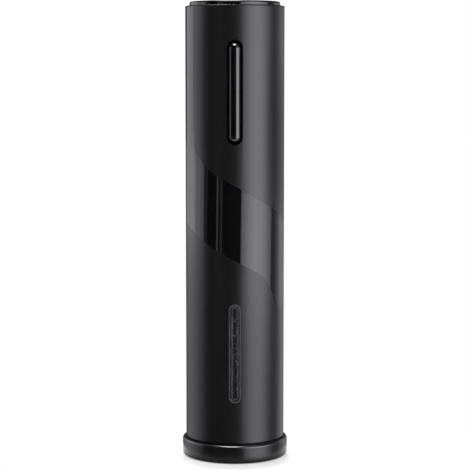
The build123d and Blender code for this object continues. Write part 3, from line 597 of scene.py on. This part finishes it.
def add_spring(name, side):
    """Two half strips behind a jaw: their ends lie on the case's wall and their middle on the
    jaw."""
    node = f"jaw_spring_{name}"
    low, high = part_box(node)
    half = high.y
    middle = min(abs(low.x), abs(high.x))
    bow = max(abs(low.x), abs(high.x)) - middle - SPRING_THICKNESS
    radius = (half**2 + bow**2) / (2 * bow)
    material = nodes[node].material_slots[0].material
    for end, way in (("front", -1), ("rear", 1)):
        points = []
        for k in range(SPRING_STEPS + 1):
            y = half * k / SPRING_STEPS
            inner = middle + radius - math.sqrt(radius**2 - y**2)
            outer = inner + SPRING_THICKNESS
            for x, z in ((inner, low.z), (outer, low.z), (outer, high.z), (inner, high.z)):
                points.append((side * x, way * y, z))
        last = 4 * SPRING_STEPS
        caps = [(0, 1, 2, 3), (last + 3, last + 2, last + 1, last)]
        faces = wall_faces(SPRING_STEPS + 1, 4) + caps
        if side * way > 0:
            faces = [face[::-1] for face in faces]
        strip = add_mesh(f"{node}_{end}", points, faces, material)
        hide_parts(node)
        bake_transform(strip)


# Stage

def add_ring(name, profile, segments, material):
    """Stage piece turned about the upright axis, from (radius, height) pairs."""
    points = []
    for radius, height in profile:
        for k in range(segments):
            angle = 2 * math.pi * k / segments
            points.append((radius * math.cos(angle), radius * math.sin(angle), height))
    ring = add_mesh(name, points, wall_faces(len(profile), segments), material)
    ring.data.polygons.foreach_set("use_smooth", [True] * len(ring.data.polygons))
    return ring


def add_floor():
    """Pale round turntable that fades into the white room and keeps the shadow under the base;
    the white it gives off also dips near the base, a painted shadow.
    """
    paint = Paint(
        "floor", (0.5, 0.5, 0.5), 0.25, Specular_IOR_Level=0.3, Emission_Color=(1, 1, 1))
    away = paint.add("VectorMath")
    away.operation = "DISTANCE"
    away.inputs[1].default_value = (0, -FLOOR_SHADE_AHEAD, 0)
    paint.link(paint.place, away.inputs[0])
    # The white given off dips near the base: a painted shadow, seen directly and in reflections.
    reach = paint.spread(away.outputs["Value"], 0, 1, 0, FLOOR_REACH)
    stops = [(distance / FLOOR_REACH, white) for distance, white in FLOOR_WHITE_AND_PAINTED_SHADE]
    path = paint.add("LightPath").outputs
    mirrored = paint.math("ADD", path["Is Glossy Ray"], path["Is Transmission Ray"])
    seen = paint.math("MINIMUM", paint.math("ADD", path["Is Camera Ray"], mirrored), 1.0)
    glow = paint.math("MULTIPLY", seen, paint.ramp(reach, greys(stops)))
    paint.set("Emission Strength", glow)
    profile = [(radius, FLOOR_LEVEL) for radius in FLOOR_RADII]
    add_ring("floor", profile, FLOOR_SEGMENTS, paint.material)


def add_tent():
    """Round white tent with dark gaps, which gives the body its upright bands of light.

    The camera looks through it.
    """
    cloth = Nodes("tent")
    cloth.tree.nodes.remove(cloth.tree.nodes["Principled BSDF"])
    axes = cloth.axes()
    angle = cloth.math("ARCTAN2", axes["X"], cloth.math("MULTIPLY", axes["Y"], -1))
    turn = cloth.spread(angle, 0, 1, -math.pi, math.pi)
    slanted = cloth.math("MULTIPLY_ADD", angle, SLANT, axes["Z"])
    height = cloth.spread(slanted, 0, 1, TENT_BOTTOM, TENT_TOP)

    def by_angle(table):
        stops = [((degrees + 180) / 360, value / BRIGHTEST) for degrees, value in table]
        return cloth.ramp(turn, greys(stops, COOL))

    def by_height(table):
        stops = [((z - TENT_BOTTOM) / (TENT_TOP - TENT_BOTTOM), share) for z, share in table]
        return cloth.ramp(height, greys(stops))

    shade = cloth.mix(by_height(UPPERS), by_angle(LOWER), by_angle(UPPER))
    shade = cloth.mix(by_height(BELTS), shade, by_angle(BELT))
    glow = cloth.add("Emission")
    cloth.link(shade, glow.inputs["Color"])
    cloth.link(cloth.math("MULTIPLY", by_height(FADE), BRIGHTEST), glow.inputs["Strength"])
    cloth.link(glow.outputs["Emission"], cloth.tree.nodes["Material Output"].inputs["Surface"])
    profile = ((TENT_RADIUS, TENT_BOTTOM), (TENT_RADIUS, TENT_TOP))
    tent = add_ring("tent", profile, TENT_SEGMENTS, cloth.material)
    tent.visible_camera = False


def add_top_light():
    """Softbox overhead, a little to the front and left, which catches the lip of the base."""
    data = bpy.data.lights.new("top_light", "AREA")
    data.shape = "RECTANGLE"
    data.size, data.size_y = TOP_LIGHT_SIZE
    data.energy = TOP_LIGHT_POWER
    lamp = bpy.data.objects.new("top_light", data)
    lamp.location = TOP_LIGHT_PLACE
    lamp.rotation_euler = (*[math.radians(tilt) for tilt in TOP_LIGHT_TILT], 0)
    lamp.visible_camera = False
    scene.collection.objects.link(lamp)


def add_world():
    """White room."""
    world = bpy.data.worlds.new("studio")
    world.use_nodes = True
    shade = world.node_tree.nodes["Background"]
    shade.inputs["Color"].default_value = (1, 1, 1, 1)
    shade.inputs["Strength"].default_value = 1.0
    scene.world = world


add_camera()
paint_nodes()
add_seal()
add_spring("left", -1)
add_spring("right", 1)
add_floor()
add_tent()
add_top_light()
add_world()
